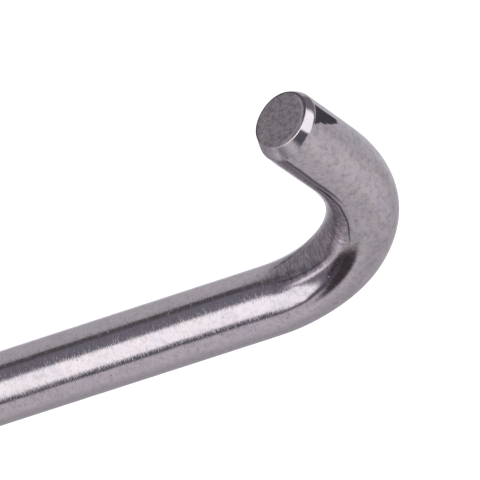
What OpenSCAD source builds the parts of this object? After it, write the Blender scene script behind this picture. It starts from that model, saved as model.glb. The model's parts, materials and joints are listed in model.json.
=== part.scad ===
// Hook-headed tent stake, bent from a single length of round steel bar.
// +Z runs up the shank and the hook turns over towards +X, in the XZ plane.
// The origin is on the shank's axis where the bend starts: the ground line of a stake driven home.

/* [Bar] */
// Diameter of the round bar
bar_d = 5; // [4:0.5:8]
// Overall length, from the top of the hook down to the tip of the point
overall_len = 230; // [150:5:320]

/* [Hook] */
// Radius of the bend, along the centre line of the bar
bend_r = 9.25; // [8:0.25:16]
// Angle that the bar turns through, in degrees
bend_angle = 110; // [90:1:135]
// Length of the arm, from the end of the bend to the cut face
arm_len = 5.65; // [3:0.05:20]
// How much thicker the arm is made than the bar, so that it joins the bend as one clean solid
arm_swell = 0.02; // [0.01:0.01:0.1]

/* [Cut end of the arm] */
// Length of the tapered band that the shear leaves behind the cut face
end_taper_len = 0.85; // [0.2:0.05:2]
// How much smaller the cut face is than the bar, measured on the radius
end_taper_step = 0.45; // [0.1:0.05:1]

/* [Point] */
// Length of the cone that is ground on the lower end
point_len = 13; // [6:1:30]
// Diameter of the cone where the blunt nose starts
nose_d = 1.4; // [0.5:0.1:2]
// Length of the blunt nose
nose_len = 0.4; // [0.2:0.1:1]
// Diameter of the flat that is left at the very tip
tip_d = 0.6; // [0.2:0.1:1]

/* [Hidden] */

$fn = 96;
bar_r = bar_d / 2;
shank_len = overall_len - bend_r - bar_r - point_len;  // the straight, full-diameter part
arm_d = bar_d + arm_swell;
arm_lap = 0.2;  // the arm starts this far inside the bend, so the two make one solid

// Straight bar with its ground point, hanging down from the origin
module shank() {
    translate([0, 0, -shank_len])
        cylinder(h = shank_len, d = bar_d);
    translate([0, 0, -shank_len - point_len + nose_len])
        cylinder(h = point_len - nose_len, d1 = nose_d, d2 = bar_d);
    translate([0, 0, -shank_len - point_len])
        cylinder(h = nose_len, d1 = tip_d, d2 = nose_d);
}

// Quarter-plus turn of the bar, starting upwards at the origin and rolling over towards +X
module bend() {
    translate([bend_r, 0, 0])
        rotate([90, 0, 180])
            rotate_extrude(angle = bend_angle)
                translate([bend_r, 0])
                    circle(d = bar_d);
}

// Moves its children from the start of the bend to the end of it
module at_bend_end() {
    translate([bend_r, 0, 0])
        rotate([0, bend_angle, 0])
            translate([-bend_r, 0, 0])
                children();
}

// Short straight arm with its tapered, sheared end
module arm() {
    straight_len = arm_len - end_taper_len;
    translate([0, 0, -arm_lap])
        cylinder(h = arm_lap + straight_len, d = arm_d);
    translate([0, 0, straight_len])
        cylinder(h = end_taper_len, d1 = arm_d, d2 = bar_d - 2 * end_taper_step);
}

// The whole stake is one piece of metal, so it is one solid
module stake() {
    color("darkgray")
        union() {
            shank();
            bend();
            at_bend_end() arm();
        }
}

stake();
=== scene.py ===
import json
import math

import bpy
import numpy as np
from mathutils import Matrix, Vector, noise


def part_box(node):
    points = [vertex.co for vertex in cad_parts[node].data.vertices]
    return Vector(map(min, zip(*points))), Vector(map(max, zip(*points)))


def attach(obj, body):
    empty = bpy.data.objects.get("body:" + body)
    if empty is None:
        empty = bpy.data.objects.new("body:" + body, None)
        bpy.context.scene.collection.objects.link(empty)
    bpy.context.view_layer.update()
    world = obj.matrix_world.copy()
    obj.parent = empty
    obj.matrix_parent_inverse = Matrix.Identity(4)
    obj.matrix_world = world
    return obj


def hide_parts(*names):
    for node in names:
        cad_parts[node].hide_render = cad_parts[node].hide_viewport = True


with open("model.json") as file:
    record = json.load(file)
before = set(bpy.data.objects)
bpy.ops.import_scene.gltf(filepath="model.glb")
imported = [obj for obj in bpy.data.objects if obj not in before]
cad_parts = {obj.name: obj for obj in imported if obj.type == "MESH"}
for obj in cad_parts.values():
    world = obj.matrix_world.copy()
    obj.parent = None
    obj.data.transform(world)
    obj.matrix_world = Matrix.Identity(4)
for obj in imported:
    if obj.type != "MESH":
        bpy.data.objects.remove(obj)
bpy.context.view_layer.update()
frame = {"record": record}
mm = 0.001

stakeMounts = {mount["name"]: mount for mount in frame["record"]["mounts"]}
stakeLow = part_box("stake")[0]


class Wire:
    # a shader socket that can be used in sums
    def __init__(self, tree, socket=None):
        self.tree = tree
        self.socket = socket

    def make(self, kind, settings=None, values=None, output=0):
        node = self.tree.nodes.new(kind)
        for name, value in (settings or {}).items():
            setattr(node, name, value)
        for name, value in (values or {}).items():
            if isinstance(value, Wire):
                self.tree.links.new(value.socket, node.inputs[name])
            else:
                node.inputs[name].default_value = value
        return Wire(self.tree, node.outputs[output] if node.outputs else None)

    def math(self, operation, *terms):
        return self.make("ShaderNodeMath", {"operation": operation}, dict(enumerate(terms)))

    def __add__(self, other):
        return self.math("ADD", self, other)

    def __sub__(self, other):
        return self.math("SUBTRACT", self, other)

    def __mul__(self, other):
        return self.math("MULTIPLY", self, other)

    def __truediv__(self, other):
        return self.math("DIVIDE", self, other)

    def __rsub__(self, other):
        return self.math("SUBTRACT", other, self)

    def __rtruediv__(self, other):
        return self.math("DIVIDE", other, self)

    __radd__ = __add__
    __rmul__ = __mul__

    def size(self):
        return self.math("ABSOLUTE", self)

    def atMost(self, limit):
        return self.math("MINIMUM", self, limit)

    def atLeast(self, limit):
        return self.math("MAXIMUM", self, limit)

    # 0 below low, 1 above high, smooth between
    def rise(self, low, high):
        return self.make("ShaderNodeMapRange", {"interpolation_type": "SMOOTHSTEP"},
                         {"Value": self, "From Min": low, "From Max": high})

    def fall(self, low, high):
        return 1 - self.rise(low, high)

    # 1 between the two slopes, first up from low to full, then down from done to high
    def within(self, low, full, done, high):
        return self.rise(low, full) * self.fall(done, high)

    # 1 as far as full away from the middle, 0 from gone on
    def near(self, middle, full, gone):
        return (self - middle).size().fall(full, gone)

    # first where this is 0, second where it is 1
    def blend(self, first, second):
        return self.make("ShaderNodeMix", {"data_type": "RGBA"}, {0: self, 6: first, 7: second}, 2)

    def stretch(self, amounts):
        return self.make("ShaderNodeVectorMath", {"operation": "MULTIPLY"}, {0: self, 1: amounts})

    def along(self, axis):
        return self.make("ShaderNodeVectorMath", {"operation": "DOT_PRODUCT"}, {0: self, 1: axis}, "Value")

    def length(self):
        return self.make("ShaderNodeVectorMath", {"operation": "LENGTH"}, {0: self}, "Value")

    def grain(self, scale, detail=2.0, roughness=0.5):
        return self.make("ShaderNodeTexNoise", {"noise_dimensions": "3D"},
                         {"Vector": self, "Scale": scale, "Detail": detail, "Roughness": roughness}, "Fac")

    def dots(self, scale, small, large):
        fromDot = self.make("ShaderNodeTexVoronoi", {"feature": "F1"},
                            {"Vector": self, "Scale": scale}, "Distance")
        return fromDot.fall(small, large)


def direction(azimuth, elevation):
    turn, lift = math.radians(azimuth), math.radians(elevation)
    return Vector((math.cos(turn) * math.cos(lift), math.sin(turn) * math.cos(lift), math.sin(lift)))


def newMaterial(name):
    material = bpy.data.materials.new(name)
    material.use_nodes = True
    material.node_tree.nodes.clear()
    return material


shot = {
    "azimuth": 129.65,            # degrees, 0 is in front
    "elevation": 10.47,
    "roll": -71.9,
    "distance": 0.4,              # metres, a long macro lens
    "lens": 435.0,
    "aim": (3.07, -3.48, -0.76),  # millimetres, just under the hook
}


def setCamera():
    turn, lift, roll = (math.radians(shot[k]) for k in ("azimuth", "elevation", "roll"))
    back = Vector((math.sin(turn) * math.cos(lift), -math.cos(turn) * math.cos(lift), math.sin(lift)))
    level = Vector((0, 0, 1))
    upright = (level - back * level.dot(back)).normalized()
    aside = upright.cross(back)
    up = upright * math.cos(roll) + aside * math.sin(roll)
    right = up.cross(back)
    lens = bpy.data.cameras.new("macroLens")
    lens.lens = shot["lens"]
    lens.sensor_width = 36.0
    lens.clip_start = 0.01
    lens.clip_end = 50.0
    camera = bpy.data.objects.new("camera", lens)
    bpy.context.scene.collection.objects.link(camera)
    place = Vector(shot["aim"]) * mm + back * shot["distance"]
    camera.matrix_world = Matrix((
        (right.x, up.x, back.x, place.x),
        (right.y, up.y, back.y, place.y),
        (right.z, up.z, back.z, place.z),
        (0, 0, 0, 1),
    ))
    bpy.context.scene.camera = camera


setCamera()
print("camera set")

# the bar is swept in millimetres; reach is the distance along it, 0 where the bend starts,
# and turn the angle round it, 0 on the inside of the bend
bar = {
    "radius": stakeMounts["shank"]["dims"]["r_mm"],
    "bendRadius": stakeMounts["hook"]["pos_m"][0] / mm,
    "bendAngle": math.radians(110),
    "armLength": 5.65,
    "shankLength": stakeMounts["shank"]["dims"]["length_mm"],
    "tip": stakeLow.z / mm,
    "noseRadius": 0.55,
    "faceRadius": 2.11,
    "faceShift": 0.13,     # the shear pushed the face towards one side
    "faceTurn": math.radians(-130),
    "taperSlope": 0.53,
    "rim": 0.09,           # rounding where the taper meets the sheared face
    "shoulderRound": 0.06,  # how far the point's shoulder is ground away
    "sides": 128,
    "firstSide": 232,      # degrees, where each ring starts
    "faceRings": 26,
    "ovalling": 0.018,     # how much the bend squashes the round section
    "waviness": 0.004,     # drawn bar is never quite round
    # dents: reach, turn in degrees, how far they spread, how deep, below 0 for a bulge;
    # the first three are where the bend and the cut end are out of true, the rest are small knocks
    "dents": (
        (12.4, 160, 2.8, -0.08), (3.6, 108, 2.8, 0.07), (22.8, 48, 0.9, 0.12),
        (21.7, 172, 0.9, 0.03), (22.95, 62, 0.15, 0.02), (19.2, 118, 0.5, 0.008), (13.2, 148, 0.8, 0.01),
        (16.4, 131, 0.7, 0.01), (9.1, 104, 0.6, 0.008), (3.2, 52, 0.5, 0.015), (-6.5, 71, 0.6, 0.01),
        (-14.0, 120, 0.5, 0.01), (-21.0, 88, 0.4, 0.008), (-31.0, -60, 0.9, 0.02), (-52.0, 150, 1.2, 0.02),
        (-88.0, 20, 1.4, 0.02), (-119.0, -110, 1.3, 0.025), (-160.0, 80, 1.4, 0.02), (-190.0, -20, 1.3, 0.03),
    ),
}
bendLength = bar["bendRadius"] * bar["bendAngle"]
armEnd = bendLength + bar["armLength"]


def smooth(low, high, value):
    share = min(max((value - low) / (high - low), 0.0), 1.0)
    return share * share * (3 - 2 * share)


def centreLine(reach):
    radius, angle = bar["bendRadius"], bar["bendAngle"]
    if reach <= 0:
        return Vector((0, 0, reach)), Vector((0, 0, 1))
    turned = min(reach / radius, angle)
    place = Vector((radius * (1 - math.cos(turned)), 0, radius * math.sin(turned)))
    heading = Vector((math.sin(turned), 0, math.cos(turned)))
    return place + heading * max(reach - bendLength, 0), heading


def steps(first, last, gap):
    return list(np.arange(first, last, gap))


def barStations():
    # where the rings of the mesh go, close together at the hook, the point and the edges
    tip, shoulder, rim = bar["tip"], -bar["shankLength"], bar["rim"]
    nearHook, nearEnd = -34, armEnd - 1.2
    nose = [tip + 0.5 * (1 - math.cos(math.radians(angle))) for angle in range(10, 91, 10)]
    point = steps(tip + 0.62, shoulder - 0.3, 0.25) + steps(shoulder - 0.3, shoulder + 0.5, 0.1)
    shank = steps(shoulder + 0.5, nearHook, 0.9) + steps(nearHook, 0, 0.2)
    hook = steps(0, bendLength, 0.14) + steps(bendLength, nearEnd, 0.12)
    taper = steps(nearEnd, armEnd - rim, 0.035)
    rolled = [armEnd - rim * math.cos(math.radians(angle)) for angle in range(10, 91, 13)]
    return nose + point + shank + hook + taper + rolled


def pointRadius(reach):
    # a cone with a round nose, its shoulder ground soft
    radius, nose, shoulder = bar["radius"], bar["noseRadius"], -bar["shankLength"]
    into = reach - bar["tip"]
    coneFrom, coneStart = nose * 0.92, 0.45
    cap = math.sqrt(max(nose ** 2 - (nose - min(into, nose)) ** 2, 0.0)) if into < nose else radius
    cone = coneFrom + (radius - coneFrom) * (into - coneStart) / (shoulder - bar["tip"] - coneStart)
    ground = bar["shoulderRound"] * math.exp(-((reach - shoulder) / 0.5) ** 2)
    return min(cap, min(cone, radius) - ground)


def barRadius(reach, turn):
    radius, rim = bar["radius"], bar["rim"]
    if reach < -bar["shankLength"] + 0.6:
        return pointRadius(reach)
    fromEnd = armEnd - reach
    if fromEnd > 1.4:  # the taper starts nearer the end than this
        return radius
    # the taper is rolled over by the shear, so its crease wanders a little
    face = bar["faceRadius"] + bar["faceShift"] * math.cos(turn - bar["faceTurn"])
    drop = radius - face - bar["taperSlope"] * fromEnd
    drop += 0.02 * math.sin(2 * turn + 0.7) + 0.01 * math.sin(5 * turn)
    soft = 0.05
    drop = 0.5 * (drop + math.sqrt(drop * drop + soft * soft)) - 0.2 * soft
    edge = rim - math.sqrt(max(rim ** 2 - max(rim - fromEnd, 0.0) ** 2, 0.0))
    return radius - max(drop, 0.0) - edge


def faceDepth(across, upward, out, inside):
    # the sheared face is torn and a little hollow, with a step near its edge
    spot = Vector((across, upward, 7.0))
    torn = 0.02 * noise.noise(spot * 1.3) + 0.014 * noise.noise(spot * 4.0) + 0.01 * noise.noise(spot * 9.0)
    side = smooth(-0.2, 0.6, (upward * 0.6 - across * 0.8) / out)
    step = 0.03 * math.exp(-((out - 1.72) / 0.08) ** 2) * side
    return (torn - step) * smooth(0.0, 0.1, inside)


def knocks(reach, turn):
    deep = 0.0
    for dentReach, dentTurn, spread, depth in bar["dents"]:
        away = reach - dentReach
        if abs(away) < 3 * spread:
            around = (turn - math.radians(dentTurn) + math.pi) % (2 * math.pi) - math.pi
            aside = bar["radius"] * around
            deep += depth * math.exp(-(away * away + aside * aside) / spread ** 2)
    return deep


def buildBar():
    sides, faceRings = bar["sides"], bar["faceRings"]
    turns = [2 * math.pi * k / sides + math.radians(bar["firstSide"]) for k in range(sides)]
    points, straight, cut = [], [], []

    # share is None on the bar, and on the cut face how far out the ring lies, from 0 to 1
    def ring(reach, share=None):
        place, heading = centreLine(reach)
        inward = Vector((heading.z, 0, -heading.x))
        bent = smooth(-3.0, 2.0, reach) * (1 - smooth(bendLength - 1.0, bendLength + 3.0, reach))
        for turn in turns:
            c, s = math.cos(turn), math.sin(turn)
            if share is None:
                spot = Vector((c * 0.9, s * 0.9, reach * 0.11))
                r = barRadius(reach, turn)
                lift = bar["waviness"] * noise.noise(spot) + 0.0025 * noise.noise(spot * 4.3)
                r = r * (1 + bar["ovalling"] * bent * (s * s - c * c)) + lift * min(r, 1.0)
                r -= knocks(reach, turn)
                deep = 0.0
            else:
                r = (barRadius(armEnd, turn) - 0.005) * share
                deep = faceDepth(c * r, s * r, r, 1 - share)
            corner = place + inward * (c * r) + Vector((0, 1, 0)) * (s * r) + heading * deep
            points.append(tuple(corner * mm))
            straight.append((c * r, s * r, reach))
            cut.append(0.0 if share is None else 1.0)

    stations = barStations()
    for reach in stations:
        ring(reach)
    for k in range(faceRings):
        ring(armEnd, 1 - k / faceRings)
    rings = len(stations) + faceRings
    faces = []
    for j in range(rings - 1):
        for k in range(sides):
            n = (k + 1) % sides
            faces.append((j * sides + k, j * sides + n, (j + 1) * sides + n, (j + 1) * sides + k))
    tipPoint, faceMiddle = len(points), len(points) + 1
    points.append((0, 0, bar["tip"] * mm))
    points.append(tuple(centreLine(armEnd)[0] * mm))
    straight += [(0, 0, bar["tip"]), (0, 0, armEnd)]
    cut += [0.0, 1.0]
    last = (rings - 1) * sides
    for k in range(sides):
        n = (k + 1) % sides
        faces.append((tipPoint, n, k))
        faces.append((faceMiddle, last + k, last + n))
    mesh = bpy.data.meshes.new("bentBar")
    mesh.from_pydata(points, [], faces)
    mesh.update()
    unbent = mesh.attributes.new("unbent", "FLOAT_VECTOR", "POINT")
    unbent.data.foreach_set("vector", np.array(straight, np.float32).ravel())
    sheared = mesh.attributes.new("sheared", "FLOAT", "POINT")
    sheared.data.foreach_set("value", np.array(cut, np.float32))
    mesh.shade_smooth()
    stake = bpy.data.objects.new("bentBar", mesh)
    bpy.context.scene.collection.objects.link(stake)
    return stake


bentBar = buildBar()
print("bar swept,", len(bentBar.data.polygons), "faces")

steel = {
    "warm": (0.675, 0.603, 0.647),
    "cool": (0.63, 0.58, 0.65),
    "stain": (0.26, 0.215, 0.255),
    "smut": (0.015, 0.013, 0.017),     # painted shade: near-black colour laid over the metal where it should look dark from shade or dark reflections
    "shine": (0.8, 0.76, 0.81),        # painted highlight: a bright ring on one side of the cut face
    "roughness": 0.09,
    "faceRoughness": 0.25,             # added on the cut face
    "polish": 0.0038,                  # heights in millimetres: lines left round the bar
    "strokes": 0.002,
    "torn": 0.03,
    "ground": 0.02,
    # marks of the bending tool, in radians from the inside of the bend
    "creaseTurn": 1.09,
    "pressTurn": 1.19,
    "trackTurn": 1.15,
}


def benderMarksAndShade(reach, turn, cloud):
    # the former smudged the inside of the bend and left a crease along its border; the crease is dented in by
    # bump and darkened with painted shade
    fromInside = turn.size()
    border = (0.32 + reach * 0.068).atMost(1.08)
    hollow = (border - fromInside).rise(0.0, 0.12) * reach.within(-3, 3, 13, 17)
    sway = fromInside + (cloud - 0.5) * 0.1
    crease = sway.near(steel["creaseTurn"], 0.015, 0.045) * reach.within(10.2, 12, 17, 19)
    # the press left a dull track along the arm, its edges dented in by bump and darkened with painted shade,
    # and a painted dark reflection line where the bend begins
    press = sway.near(steel["pressTurn"], 0.09, 0.16) * reach.within(15.5, 18, 22.2, 22.5)
    fromTrack = (sway - steel["trackTurn"]).size()
    pressEdgeShade = fromTrack.near(0.1, 0.01, 0.04) * reach.within(15, 17, 22.2, 22.5)
    paintedBendLine = (fromInside - reach * 0.054).near(0.19, 0.015, 0.06) * reach.within(0.5, 2.5, 7, 9)
    return hollow, crease, press, pressEdgeShade, paintedBendLine


def paintedDarkWedge(reach, inward, aside, wander):
    # painted dark reflection: a dark wedge on the outside of the arm, behind the cut end
    outTurn = aside.math("ARCTAN2", aside, 0 - inward)
    lower = (reach - 20.2) * 0.2 + wander * 0.4
    wedge = (outTurn - lower).fall(-0.03, 0.03) * outTurn.rise(-0.17, -0.12)
    return wedge * reach.within(20.1, 20.5, armEnd - 0.8, armEnd - 0.68)


def faceShadeAndGlint(place, inward, aside, face):
    # painted shade along one side of the cut face's edge, and a painted highlight ring just inside the other
    radius = place.stretch((1, 1, 0)).length()
    pushed = tuple(direction(math.degrees(bar["faceTurn"]), 0))
    push = place.along(pushed) / radius.atLeast(0.1)
    fromRim = bar["faceRadius"] - bar["rim"] + push * bar["faceShift"] - radius
    edgeShade = face * fromRim.fall(0.0, 0.08) * aside.fall(-0.2, 1.4)
    ring = face * fromRim.within(0.04, 0.1, 0.2, 0.3) * (aside * 0.5 - inward * 0.85).rise(0.4, 1.4)
    return edgeShade, ring


def makeSteel():
    material = newMaterial("tumbledSteel")
    start = Wire(material.node_tree)
    place = start.make("ShaderNodeAttribute", {"attribute_name": "unbent"}, None, "Vector")
    face = start.make("ShaderNodeAttribute", {"attribute_name": "sheared"}, None, "Fac")
    inward = place.along((1, 0, 0))
    aside = place.along((0, 1, 0))
    reach = place.along((0, 0, 1))
    turn = aside.math("ARCTAN2", aside, inward)
    warm, cool, stain, smut, shine = ((*steel[k], 1) for k in ("warm", "cool", "stain", "smut", "shine"))

    # polishing lines run round the bar, so they are short along it;
    # the former rubbed them out inside the bend
    rubbed = 1 - reach.within(2, 5, 13, 16) * turn.size().fall(1.35, 1.6) * 0.75
    lines = place.stretch((3, 3, 9)).grain(1.0, 2.0, 0.5) * rubbed
    strokes = place.stretch((2.2, 2.2, 16)).grain(1.0, 1.0, 0.4).rise(0.62, 0.72) * rubbed
    flecks = place.stretch((1.8, 1.8, 10)).grain(1.0, 3.0, 0.65).rise(0.56, 0.68) * rubbed
    streaks = place.stretch((1.7, 1.7, 3.2)).grain(1.0, 5.0, 0.75)
    grindLines = place.stretch((0.3, 0.3, 5)).grain(1.0, 4.0, 0.7)
    grit = place.grain(9.0, 3.0, 0.6)
    cloud = place.grain(0.4, 3.0, 0.55)
    patch = place.grain(0.9, 3.0, 0.6)
    wander = place.grain(2.2, 4.0, 0.7) - 0.5
    blotch = place.grain(2.4, 4.0, 0.65).rise(0.46, 0.62)
    mottle = place.grain(4.5, 4.0, 0.75).rise(0.52, 0.68)
    faceSpeckle = place.grain(3.0, 6.0, 0.95).rise(0.44, 0.6)
    specks = place.dots(1.5, 0.04, 0.13)

    # where things are on the bar
    hollow, crease, press, pressEdgeShade, paintedBendLine = benderMarksAndShade(reach, turn, cloud)
    paintedWedge = paintedDarkWedge(reach, inward, aside, wander)
    edgeShade, ring = faceShadeAndGlint(place, inward, aside, face)
    end = reach.rise(armEnd - 0.85, armEnd - 0.7)
    worn = reach.rise(armEnd - 1.15, armEnd - 1.0) * turn.size().fall(1.75, 2.05) * (1 - face)
    ground = reach.fall(-bar["shankLength"] - 0.6, -bar["shankLength"])
    # painted shade: a dark line round the rim on one side of the cut end
    rimShade = (reach + wander * 0.1).rise(armEnd - 0.1, armEnd - 0.05) * aside.fall(-0.6, 1.4) * (1 - face)

    # colour, from bare metal to stains
    colour = patch.rise(0.32, 0.68).blend(cool, warm)
    stains = mottle * 0.34 + blotch * 0.26 + cloud.rise(0.45, 0.75) * 0.15 + grit.rise(0.6, 0.8) * 0.15
    stains = stains * (0.65 + 0.45 * reach.rise(0, 12)) * (1 - end * 0.7) * (1 - face)
    colour = stains.blend(colour, stain)
    colour = (specks * 0.5).blend(colour, stain)
    colour = (hollow * streaks.rise(0.4, 0.6) * 0.75).blend(colour, stain)
    colour = (face * faceSpeckle * 0.8).blend(colour, stain)
    # painted highlight: the bright ring on one side of the cut face
    colour = (ring * 0.7).blend(colour, shine)
    colour = (press * 0.9).blend(colour, stain)

    rough = cloud * 0.04 + patch * 0.03 + flecks * 0.2 + specks * 0.2 + hollow * 0.14
    rough = steel["roughness"] + rough * (1 - end) + worn * 0.3 + ground * 0.08
    rough = rough + face * steel["faceRoughness"]

    height = lines * steel["polish"] + (strokes + flecks) * steel["strokes"] + grit * 0.0008
    height = height + ground * grindLines * steel["ground"]
    height = height * (1 - end * 0.8) + patch * 0.004 - specks * 0.005 - (crease + pressEdgeShade) * 0.01
    height = height * (1 - face) + face * place.grain(4.0, 5.0, 0.75) * steel["torn"]
    bump = start.make("ShaderNodeBump", None, {"Strength": 1.0, "Distance": mm, "Height": height})

    clean = start.make("ShaderNodeBsdfPrincipled", None, {
        "Base Color": colour, "Metallic": 1.0, "Roughness": rough, "Normal": bump})
    # near-black matte coat that paints shade and dark reflections on the metal
    paintedShadeCoat = start.make("ShaderNodeBsdfPrincipled", None, {
        "Base Color": smut, "Roughness": 0.8, "Specular IOR Level": 0.0, "Normal": bump})
    # where the painted shade goes: the arm's dark wedge, the cut end's rim and face edge, the crease and the
    # lines along the bend and arm
    paintedShadeMask = (paintedWedge * 0.97).atLeast(rimShade * 0.8 + edgeShade * 0.7)
    paintedShadeMask = paintedShadeMask.atLeast(crease * 0.75 + pressEdgeShade * 0.6 + paintedBendLine * 0.5)
    shader = start.make("ShaderNodeMixShader", None, {0: paintedShadeMask, 1: clean, 2: paintedShadeCoat})
    start.make("ShaderNodeOutputMaterial", None, {"Surface": shader})
    return material


bentBar.data.materials.append(makeSteel())
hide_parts("stake")
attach(bentBar, "root")
print("steel on")

# a room of soft panels round the stake; each lies over the ones before it
studio = {
    "cameraSide": 39.65,           # azimuth the panels are counted from
    "room": (0.56, 0.56, 0.56),
    "behindStake": (1.2, 1.2, 1.2),
    "panels": {
        # azimuth, elevation, tilt, width, height, soft edge, all in degrees; squareness; colour
        "sideWall": (138, 8, 0, 62, 84, 30, 3, (0.50, 0.49, 0.50)),
        "sideShade": (146, -10, 0, 56, 20, 12, 3, (0.42, 0.41, 0.43)),
        "sideGlow": (72, -14, 0, 44, 24, 10, 3, (0.65, 0.63, 0.645)),
        "whitePaper": (190, -17, 0, 34, 20, 9, 2, (0.9, 0.9, 1.06)),
        "backEdge": (188, 14, 0, 22, 50, 18, 2, (0.64, 0.65, 0.68)),
        "wallGlow": (92, 44, 0, 70, 54, 30, 2, (0.68, 0.67, 0.67)),
        "dimWall": (-92, -53, 10, 112, 70, 22, 4, (0.34, 0.33, 0.34)),
        "dimCeiling": (-124, 38, 0, 46, 42, 12, 3, (0.22, 0.21, 0.22)),
        "dimCorner": (156, -46, 0, 56, 26, 12, 3, (0.24, 0.24, 0.25)),
        "flag": (-25, 0, 24, 104, 198, 4, 6, (0.205, 0.203, 0.23)),
        "flagSeam": (-67, -18, 4, 17, 56, 6, 4, (0.105, 0.10, 0.105)),
        "deepCorner": (78, -42, -16, 25, 42, 5, 4, (0.055, 0.045, 0.05)),
        "tableEdge": (29, -72, -26, 80, 10, 4, 4, (1.25, 1.2, 1.23)),
        "boxFrame": (36, 2, 27, 12, 120, 4, 8, (0.11, 0.11, 0.13)),
        "stripBox": (-14, 22, 34, 50, 122, 8, 6, (1.38, 1.4, 1.37)),
        "roundBox": (19, -30, -9, 49, 35, 6, 3, (1.31, 1.33, 1.3)),
        "topBox": (-28, 54, 0, 66, 32, 5, 4, (1.38, 1.4, 1.37)),
    },
}


def panelMask(sight, azimuth, elevation, tilt, width, height, edge, square):
    facing = direction(azimuth + studio["cameraSide"], elevation)
    level = Vector((0, 0, 1)).cross(facing).normalized()
    lean = Matrix.Rotation(math.radians(tilt), 3, facing)
    depth = sight.along(facing) + 1.0001
    halves = [math.tan(math.radians(size) / 4) for size in (width, height)]
    spread = 0.0
    for axis, half in zip((lean @ level, lean @ facing.cross(level)), halves):
        out = (sight.along(axis) / depth).size() / half
        spread = out.math("POWER", out, square) + spread
    spread = spread.math("POWER", spread, 1 / square)
    soft = math.tan(math.radians(edge) / 4) / min(halves)
    return spread.fall(1 - soft, 1 + soft)


def makeStudio():
    world = bpy.data.worlds.new("studioRoom")
    bpy.context.scene.world = world
    world.use_nodes = True
    world.node_tree.nodes.clear()
    start = Wire(world.node_tree)
    sight = start.make("ShaderNodeTexCoord", None, None, "Generated")
    light = (*studio["room"], 1)
    for *shape, colour in studio["panels"].values():
        light = panelMask(sight, *shape).blend(light, (*colour, 1))
    seen = start.make("ShaderNodeLightPath", None, None, "Is Camera Ray")
    light = seen.blend(light, (*studio["behindStake"], 1))
    glow = start.make("ShaderNodeBackground", None, {"Color": light})
    start.make("ShaderNodeOutputWorld", None, {"Surface": glow})


backdrop = {
    "paper": (0.86, 0.86, 0.86),
    "radius": 0.8,
    "lampPower": 17.0,
    "lampSize": 0.5,
    "lampPlace": (0.25, 0.1, 0.9),
}


def makeFloor():
    radius = backdrop["radius"]
    ground = Vector((0, 0, stakeLow.z))
    bpy.ops.mesh.primitive_circle_add(vertices=96, radius=radius, fill_type="TRIFAN", location=ground)
    floor = bpy.context.object
    floor.name = "paleFloor"
    material = newMaterial("palePaper")
    start = Wire(material.node_tree)
    place = start.make("ShaderNodeNewGeometry", None, None, "Position")
    fade = place.stretch((1, 1, 0)).length().rise(0.5 * radius, 0.95 * radius)
    paper = start.make("ShaderNodeBsdfDiffuse", None, {"Color": (*backdrop["paper"], 1)})
    clear = start.make("ShaderNodeBsdfTransparent")
    shader = start.make("ShaderNodeMixShader", None, {0: fade, 1: paper, 2: clear})
    start.make("ShaderNodeOutputMaterial", None, {"Surface": shader})
    floor.data.materials.append(material)
    floor.visible_glossy = False
    floor.visible_shadow = False

    # the lamp lights the floor only, the room above does the metal
    lamp = bpy.data.lights.new("floorLamp", "AREA")
    lamp.shape = "DISK"
    lamp.size = backdrop["lampSize"]
    lamp.energy = backdrop["lampPower"]
    holder = bpy.data.objects.new("floorLamp", lamp)
    bpy.context.scene.collection.objects.link(holder)
    holder.location = backdrop["lampPlace"]
    holder.rotation_euler = (holder.location - ground).to_track_quat("Z", "Y").to_euler()
    holder.visible_glossy = False


makeStudio()
makeFloor()
bpy.context.scene.view_settings.view_transform = "Standard"
bpy.context.scene.view_settings.look = "None"
print("studio ready")
